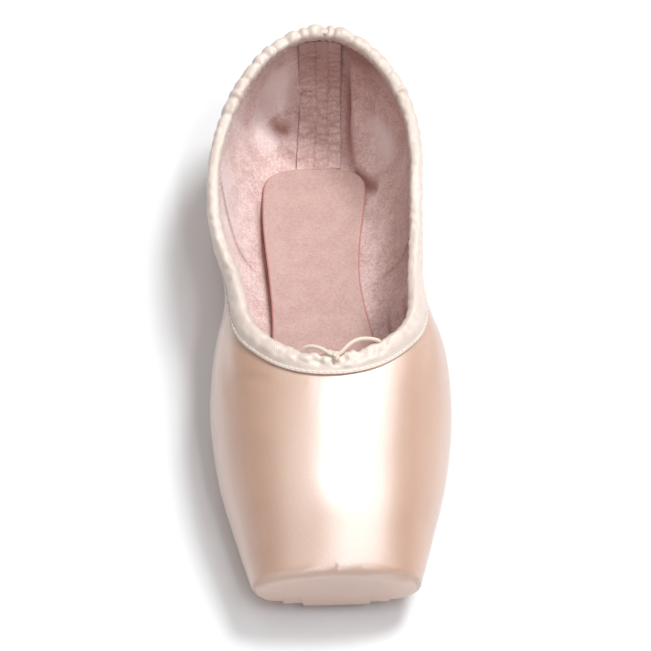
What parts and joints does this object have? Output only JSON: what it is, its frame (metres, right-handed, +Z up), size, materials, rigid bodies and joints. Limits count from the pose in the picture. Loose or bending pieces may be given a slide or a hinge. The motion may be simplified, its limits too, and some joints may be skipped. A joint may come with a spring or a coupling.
{
  "type": "pointe shoe",
  "caption": "Satin pointe shoe with a stiff flat-ended box, gathered drawstring collar, suede lining and insole, and a short leather outsole.",
  "frame": {"origin": "on the floor under the middle of the shoe's box, between its two resting flats", "axes": "+Y from the platform at the toe towards the heel, +Z up from the floor, +X to the right seen from the toe end looking towards the heel"},
  "size_m": [0.0874, 0.228, 0.0575],
  "materials": {
    "satin": "glossy peach satin with a fine diagonal twill",
    "casing_satin": "cream satin, softly puckered",
    "lining_suede": "dusty pink sueded lining, creased",
    "insole_suede": "flat dusty pink suede",
    "sole_leather": "buffed natural leather",
    "elastic": "braided cream elastic"
  },
  "bodies": {
    "root": {"upper": "satin", "collar_casing": "casing_satin", "heel_strip": "lining_suede", "insole": "insole_suede", "outsole": "sole_leather", "drawstring_left": "elastic", "drawstring_right": "elastic", "drawstring_knot": "elastic"}
  },
  "joints": []
}
